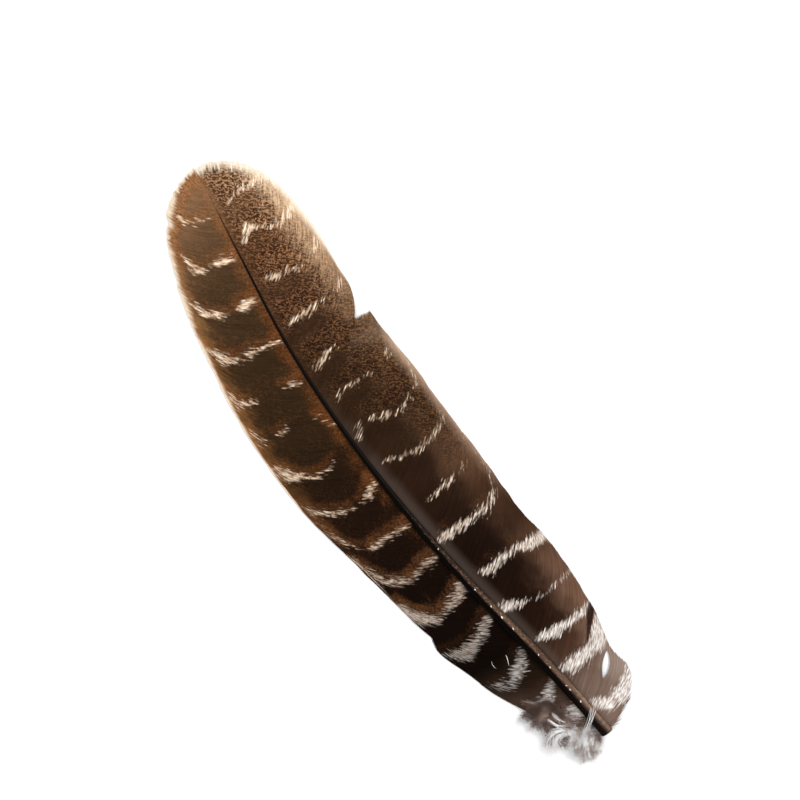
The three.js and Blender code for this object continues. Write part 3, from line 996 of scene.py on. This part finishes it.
def add_mottling(s, colour):
    """Dark wavy lines on a lighter ground, weak in the plain dark band below each bar."""
    mottle = s.look["mottle"]
    level = s.add(s.times(s.across, 0.81), s.times(s.station, -0.59))
    rise = s.add(s.times(s.across, 0.59), s.times(s.station, 0.81))
    warp = s.about(s.noise(level, rise, 0.42, 0.46, 2), 26)
    breaks = s.about(s.noise(level, rise, 0.9, 1.1, 1, z=5), 3.6)
    waves = s.maths("SINE", s.add(s.times(rise, 3.5), warp))
    light = s.step(s.add(waves, breaks), -0.6, 1.5)
    lit = s.darken(s.colours("mottle_light"), s.ramp(s.share, s.look["mottle_fall"]))
    wavy = s.mix(light, s.colours("mottle_dark"), lit)
    wavy = s.mix(0.8, wavy, s.ramp(s.wisps, [(0.36, 0xb0b0b0), (0.62, WHITE)]), "MULTIPLY")

    reach = s.add(s.station, s.times(s.share, mottle["outward"]), s.about(s.cloud, 70))
    amount = s.times(s.step(reach, mottle["from"], mottle["from"] + 40), mottle["amount"])
    plain = s.times(
        s.step(s.below, -4.5, 0.5), s.step(s.share, 0.85, 0.35), s.step(s.station, 200, 235, 0.85, 0.4),
    )
    amount = s.times(amount, s.maths("SUBTRACT", 1, plain), s.step(s.share, 0, 0.16, 0.35, 1))
    banded = s.times(plain, s.step(s.station, 110, 140), s.look["plain"])
    return s.mix(amount, s.mix(banded, colour, srgb(PLAIN_BROWN)), wavy)


def add_fringe(s, colour):
    """Paler streaks in the outer part of the vane, stronger towards the tip, and beside them a paler rim,
    which is a painted sheen on the rolled margin.
    """
    fringe = s.look["fringe"]
    outer_part = s.add(s.share, s.about(s.streaks, fringe["ragged"]), s.about(s.cloud, 0.3))
    outer_part = s.step(outer_part, fringe["share"], 1.05)
    pale = s.times(outer_part, s.step(s.station, *fringe["stations"]), fringe["amount"], s.beside)
    colour = s.mix(pale, colour, s.by_length(s.length, fringe["colours"]))
    # The rim: a painted sheen along the rolled margin, nearest the barbs' tips.
    rim = s.times(
        s.step(s.add(s.left, s.about(s.streaks, 9)), 17, 1), s.step(s.station, 96, 124),
        s.step(s.station, 190, 174), s.look["rim"],
    )
    return s.mix(rim, colour, s.colours("rim_sheen_colours"))


def add_bars(s, colour):
    """The pale bars, which break up into streaks along the barbs where they are less solid."""
    loose = s.maths("SUBTRACT", 1, s.solid)
    broad = s.about(s.streaks, s.maths("MULTIPLY_ADD", loose, 8, 5.5))
    fine = s.about(s.wisps, s.maths("MULTIPLY_ADD", loose, 4, 3.2))
    inside = s.add(s.bar, s.times(loose, -1), s.add(broad, fine, s.about(s.chance, 0.6)), -0.8)
    specks = s.step(s.noise(s.station, s.across, 0.42, 0.62, 1, z=7), 0.62, 0.7)
    specks = s.times(specks, s.look["specks"])
    inward = s.add(s.left, s.step(s.station, 90, 120, s.look["clear_edge"], 5))
    solidity = s.times(
        s.maths("MULTIPLY_ADD", s.solid, 0.3, 0.68), s.maths("SUBTRACT", 1, specks),
        s.step(inward, 0.4, 2.6),
    )
    glint = s.noise(s.along, s.row, 0.35, 1.6, 1.5, z=2)
    tint = s.mix(s.step(glint, 0.34, 0.66), s.colours("bar_dim"), s.colours("bar_bright"))
    return s.mix(s.times(s.step(inside, -0.8, 1.5), solidity), colour, tint)


def add_cream_edge(s, colour):
    """The edge, cream towards the tip, with streaks of it along the barbs: partly the barbs' own pale colour
    and partly painted light, the glow of their thin ends with light shining through them.
    """
    cream = s.look["cream"]
    rising = s.step(s.station, cream["from"], cream["from"] + 60)
    depth = s.times(rising, cream["width"], s.step(s.station, 240, 256, 1, 0.62), s.beside)
    edge = s.maths("DIVIDE", s.add(s.left, s.about(s.streaks, cream["streaks"])), s.add(depth, 0.4))
    return s.mix(s.times(s.step(edge, 1.3, 0.1), rising, 0.95), colour, srgb(cream["colour"]))


# Painted shadow: darkens the inside of the inner vane's fold.
def add_fold(s, colour):
    return s.mix(s.step(s.fold, -0.5, 0.35, 0, 0.92), colour, srgb(PAINTED_FOLD_SHADOW))


def add_underside(s, colour):
    """Paler where the surface faces down."""
    normal = s.node("ShaderNodeNewGeometry", {}).outputs["Normal"]
    up = s.node("ShaderNodeSeparateXYZ", {0: normal}).outputs[2]
    return s.mix(s.step(up, 0, -0.3, 0, 0.5), colour, srgb(UNDERSIDE_BROWN))


def vane_material(name, look):
    """Barbs: a ground that changes along and across the vane, and the layers of colour that lie on it."""
    s = VaneShader(name, look)
    colour = ground(s)
    for add in (add_rust, add_mottling, add_fringe, add_bars, add_cream_edge, add_fold, add_underside):
        colour = add(s, colour)
    barbules_bump = s.bump(s.noise(s.along, s.row, 3.2, 0.5, 1, z=4), 0.03 * MM, 0.5)
    return s.finish(
        Base_Color=colour, Roughness=s.step(s.silk, 0.3, 0.7, 0.52, 0.66), Specular_IOR_Level=0.02,
        Normal=barbules_bump,
    )


# How each vane looks. Lists of colours are (station, sRGB colour) stops along the feather, but those of
# mottle_fall are by the share of the way out. Lengths are in mm. sheen and sheen_width set a painted grey
# sheen beside the shaft, and rim a painted sheen along the margin.
INNER_LOOK = {
    "rim": 0.8, "plain": 0.55, "spaced": 1, "specks": 0, "clear_edge": 5, "sheen": 0.5,
    "sheen_width": 0.17, "outward": 0.42,
    "near": [
        (0, 0x7c665a), (20, 0x786256), (34, 0x4e3629), (50, 0x26150c), (64, 0x1c0d06), (90, 0x190b05),
        (128, 0x2a190e), (180, 0x372415), (215, 0x4a3221), (245, 0x5c3e27), (275, 0x926846),
    ],
    "far": [
        (0, 0x887367), (18, 0x9a887c), (34, 0x846858), (46, 0x785946), (66, 0x684c3c), (78, 0x5a3f2e),
        (90, 0x3c271a), (110, 0x483020), (128, 0x72533d), (165, 0x6a4b33), (195, 0x6c4c33), (235, 0x886346),
        (275, 0xc4a07e),
    ],
    "mottle_dark": [
        (0, 0x1c0e07), (150, 0x201109), (200, 0x24130b), (225, 0x341d11), (250, 0x3a2114), (275, 0x4a2c1b),
    ],
    "mottle_light": [
        (0, 0x4c3422), (150, 0x624328), (190, 0x7c5738), (215, 0xa67753), (245, 0xc89469), (262, 0xe4b48a),
        (275, 0xecc096),
    ],
    "mottle_fall": [(0, 0xc4beba), (0.35, 0xd2ccc6), (0.6, 0xe2deda), (0.9, 0xffffff)],
    "mottle": {"from": 158, "outward": 62, "amount": 0.9},
    "rust": {
        "bars": 0.15, "root": 0, "edge": 0.25, "low": 0, "stations": (40, 110),
        "colours": [(0, 0x60422e), (150, 0x64422a), (270, 0x966846)],
    },
    "bar_dim": [(0, 0x9c8c82), (60, 0x968376), (90, 0x8e7663), (140, 0x9e7f65), (270, 0xcea884)],
    "bar_bright": [(0, 0xece7e3), (60, 0xece5de), (90, 0xe6dbce), (140, 0xead7bf), (270, 0xfff0da)],
    "fringe": {
        "share": 0.56, "stations": (160, 250), "amount": 0.7, "ragged": 0.8,
        "colours": [(0, 0x8c684a), (190, 0xb08c6a), (245, 0xe2c09c), (275, 0xf0d6b8)],
    },
    # Colours of the painted sheen along the margin.
    "rim_sheen_colours": [(0, 0x967a66), (130, 0x9c7e6a), (168, 0xb89a82), (200, 0xc6a88e)],
    "cream": {"from": 178, "width": 5.2, "streaks": 9, "colour": 0xeee0cb},
}
OUTER_LOOK = {
    "rim": 0, "plain": 0, "spaced": 0.45, "specks": 0.7, "clear_edge": 0, "sheen": 0,
    "sheen_width": 0.2, "outward": 0.3,
    "near": [
        (0, 0x64544a), (20, 0x48382e), (34, 0x261810), (50, 0x0f0703), (90, 0x140904), (125, 0x1e1008),
        (150, 0x25170c), (166, 0x302112), (200, 0x362615), (235, 0x463320), (256, 0x6a4e36), (275, 0x946e4e),
    ],
    "far": [
        (0, 0x68564a), (20, 0x5a483e), (34, 0x36281f), (50, 0x0f0703), (90, 0x140904), (125, 0x1e1008),
        (150, 0x26180d), (166, 0x312213), (200, 0x3a2917), (235, 0x4a3622), (256, 0x72543b), (275, 0xa27a58),
    ],
    "mottle_dark": [(0, 0x160b06), (150, 0x22130b), (275, 0x543a26)],
    "mottle_light": [(0, 0x3c2616), (150, 0x5a3a22), (275, 0x966c4a)],
    "mottle_fall": [(0, 0xebebeb), (1, 0xffffff)],
    "mottle": {"from": 60, "outward": -30, "amount": 0.22},
    "rust": {
        "bars": 0.5, "root": 0.5, "edge": 0.95, "low": 0.12, "stations": (60, 86),
        "colours": [
            (0, 0x583e2d), (60, 0x603e26), (88, 0x704a2d), (116, 0x6a4225), (150, 0x623a1d), (215, 0x6f4323),
            (250, 0x845632), (274, 0xa07049),
        ],
    },
    "bar_dim": [(0, 0x9c928b), (50, 0x685a50), (100, 0x7c624e), (160, 0xaa8462), (270, 0xc89e78)],
    "bar_bright": [
        (0, 0xcecac7), (50, 0xaaa5a1), (64, 0xaea49c), (84, 0xccbeb0), (110, 0xe2ceb8), (200, 0xfae8d0),
        (270, 0xfae6cc),
    ],
    "fringe": {
        "share": 0.72, "stations": (100, 200), "amount": 0.5, "ragged": 0.4,
        "colours": [(0, 0x6e482c), (150, 0x986638), (215, 0xac7846), (275, 0xd0a272)],
    },
    "rim_sheen_colours": [(0, 0x967a66), (200, 0xc6a88e)],
    "cream": {"from": 70, "width": 4.4, "streaks": 4.5, "colour": 0xecd8be},
}


# ---------------- the other materials

HORN_END = [(258, 0x422618), (274, 0x96684a)]
# The horn's colours along the shaft: the first table is its own near-black, which on the outer side and
# underside also stands for painted shade; the second is the inner slope, paler horn at the base and painted
# light along the lower half.
HORN_DARK = [(0, 0x140b07), (40, 0x050302), (236, 0x050302), *HORN_END]
HORN_PALE_AND_LIT = [
    (0, 0x705a4e), (8, 0x7c6456), (16, 0x826858), (28, 0x684f42), (40, 0x523c30), (60, 0x60483b),
    (78, 0x402e24), (96, 0x261912), (116, 0x100906), (150, 0x090503), (236, 0x090503), *HORN_END,
]
# Pale painted highlights, and real dark stains, on the quill's lit slope.
HORN_HIGHLIGHT, HORN_STAIN = 0xa88c78, 0x2e1e14
PITH_PALE, PITH_DARK = 0xe8dccb, 0xbaa690
SHEATH_DIM, SHEATH_BRIGHT = 0xcebeac, 0xfaf6ee
DOWN_TONES = [(0.05, 0x563e32), (0.2, 0x7c6152), (0.36, 0xb09789), (0.55, 0xe2d8d2), (0.8, 0xfcfbfb)]
FLOOR_WHITE = (0.93, 0.93, 0.93, 1)


def horn_material():
    """The shaft: dark horn with a core of pith. Its inner, upper slope is paler in its lower half, partly its
    own paler horn and partly painted light, and its outer side and underside are near-black, partly its own
    dark horn and partly painted shade.
    """
    s = Shader("quill_horn")
    station, out, rise = s.parts("place")
    pith = s.parts("pith")[0]
    length = s.maths("DIVIDE", station, FEATHER_LENGTH)
    fine = s.noise(station, out, 0.22, 7, 4)
    edge = s.add(out, s.about(fine, 0.25))
    # Painted light and shade: the inner, upper slope is lit, most along the lower half, and the rest of the
    # shaft is left near-black as shaded.
    base = s.step(station, 34, 18)
    rising = s.times(base, s.step(edge, -0.2, 0.8))
    lit_upper_half = s.maths("SUBTRACT", 1, base)
    lit_upper_half = s.times(lit_upper_half, s.step(edge, -0.12, 0.2), s.step(edge, 0.95, 0.25, 0.5, 1))
    slope = s.times(s.add(rising, lit_upper_half), s.step(edge, 0.98, 0.86), s.step(rise, -0.1, 0.15))
    colour = s.mix(slope, s.by_length(length, HORN_DARK), s.by_length(length, HORN_PALE_AND_LIT))
    grain = s.noise(station, out, 0.8, 5, 3, z=3)
    # Painted highlights in pale flecks, and real dark stains, on the lit lower slope.
    highlights_and_stains = s.times(slope, s.step(station, 130, 90))
    colour = s.mix(s.times(s.step(grain, 0.52, 0.7), highlights_and_stains, 0.45), colour, srgb(HORN_HIGHLIGHT))
    colour = s.mix(s.times(s.step(grain, 0.5, 0.32), highlights_and_stains, 0.7), colour, srgb(HORN_STAIN))
    core = s.mix(s.noise(station, out, 1.5, 9, 3), srgb(PITH_PALE), srgb(PITH_DARK))
    colour = s.mix(pith, colour, core)
    return s.finish(
        Base_Color=colour, Roughness=s.step(fine, 0.3, 0.7, 0.36, 0.5), Specular_IOR_Level=0.03,
        Normal=s.bump(fine, 0.02 * MM, 0.5),
    )


def fleck_material():
    s = Shader("dry_sheath")
    place = s.node("ShaderNodeTexCoord", {}).outputs["Object"]
    noise = s.node("ShaderNodeTexNoise", {"Vector": place, "Scale": 900, "Detail": 3}).outputs[0]
    colour = s.mix(s.step(noise, 0.35, 0.6), srgb(SHEATH_DIM), srgb(SHEATH_BRIGHT))
    return s.finish(Base_Color=colour, Roughness=0.55, Specular_IOR_Level=0.4, Normal=s.bump(noise, 0.1 * MM))


def down_material():
    """Down: soft threads, grey-brown and white in patches, and paler towards their tips."""
    s = Shader("down_fluff")
    station, across, far = s.parts("place")
    shade = s.parts("shade")[0]
    patch = s.noise(station, across, 0.19, 0.19, 2)
    paler = s.times(far, s.add(s.times(shade, 0.16), 0.03))
    tone = s.add(s.about(patch, 0.7), s.times(shade, 0.78), paler, 0.02)
    return s.finish(
        Base_Color=s.ramp(tone, DOWN_TONES), Roughness=0.8, Specular_IOR_Level=0.15,
        Sheen_Weight=0.15, Sheen_Roughness=0.5,
    )


def floor_material():
    s = Shader("pale_floor")
    return s.finish(Base_Color=FLOOR_WHITE, Roughness=0.9, Specular_IOR_Level=0.1)


# ---------------- floor, light and camera

def add_floor():
    mesh = bpy.data.meshes.new("floor")
    half = FLOOR / 2
    corners = [(-half, -half, 0), (half, -half, 0), (half, half, 0), (-half, half, 0)]
    mesh.from_pydata(corners, [], [(0, 1, 2, 3)])
    mesh.materials.append(floor_material())
    add_object("floor", mesh)


def add_area_light(name, place, size, power):
    """A lamp aimed at the feather, at a place along the picture's right and up and towards the camera."""
    place = Matrix.Rotation(-VIEW_TURN, 3, "Z") @ Vector(place)
    light = bpy.data.lights.new(name, "AREA")
    light.size = size
    light.energy = power
    lamp = add_object(name, light)
    lamp.location = place
    lamp.rotation_mode = "QUATERNION"
    lamp.rotation_quaternion = (-place).to_track_quat("-Z", "Y")


def add_world():
    world = bpy.data.worlds.new("soft_sky")
    world.use_nodes = True
    background = world.node_tree.nodes["Background"]
    background.inputs["Color"].default_value = (1, 1, 1, 1)
    background.inputs["Strength"].default_value = SKY
    bpy.context.scene.world = world


def add_camera():
    data = bpy.data.cameras.new("camera")
    data.lens = LENS
    data.sensor_width = SENSOR
    data.clip_start, data.clip_end = 0.01, 20.0
    camera = add_object("camera", data)
    x, y, _ = on_frame([*VIEW_MIDDLE, 0.0])
    distance = SEEN * MM * LENS / SENSOR
    camera.matrix_world = Matrix.Translation((x, y, distance)) @ Matrix.Rotation(-VIEW_TURN, 4, "Z")
    bpy.context.scene.camera = camera


# ---------------- the whole scene

bpy.context.scene.view_settings.view_transform = "Standard"
add_camera()
add_floor()
add_world()
for lamp in LIGHTS:
    add_area_light(*lamp)

make_shaft().data.materials.append(horn_material())
make_flecks().data.materials.append(fleck_material())

inner = make_vane("inner_vane_barbs", INNER, INNER_EDGE, INNER_TIPS, INNER_BARS, "inner_vane")
inner.data.materials.append(vane_material("inner_barbs", INNER_LOOK))
outer = make_vane("outer_vane_barbs", OUTER, OUTER_EDGE, OUTER_TIPS, OUTER_BARS, "outer_vane")
outer.data.materials.append(vane_material("outer_barbs", OUTER_LOOK))

fluff = down_material()
make_down("down_barbs", WHITE_DOWN, 112, 0.32, (0.3, 1.0), "down_tuft").data.materials.append(fluff)
make_down("brown_down", BROWN_DOWN, 96, 0.28, (0.0, 0.26)).data.materials.append(fluff)
make_strands().data.materials.append(fluff)
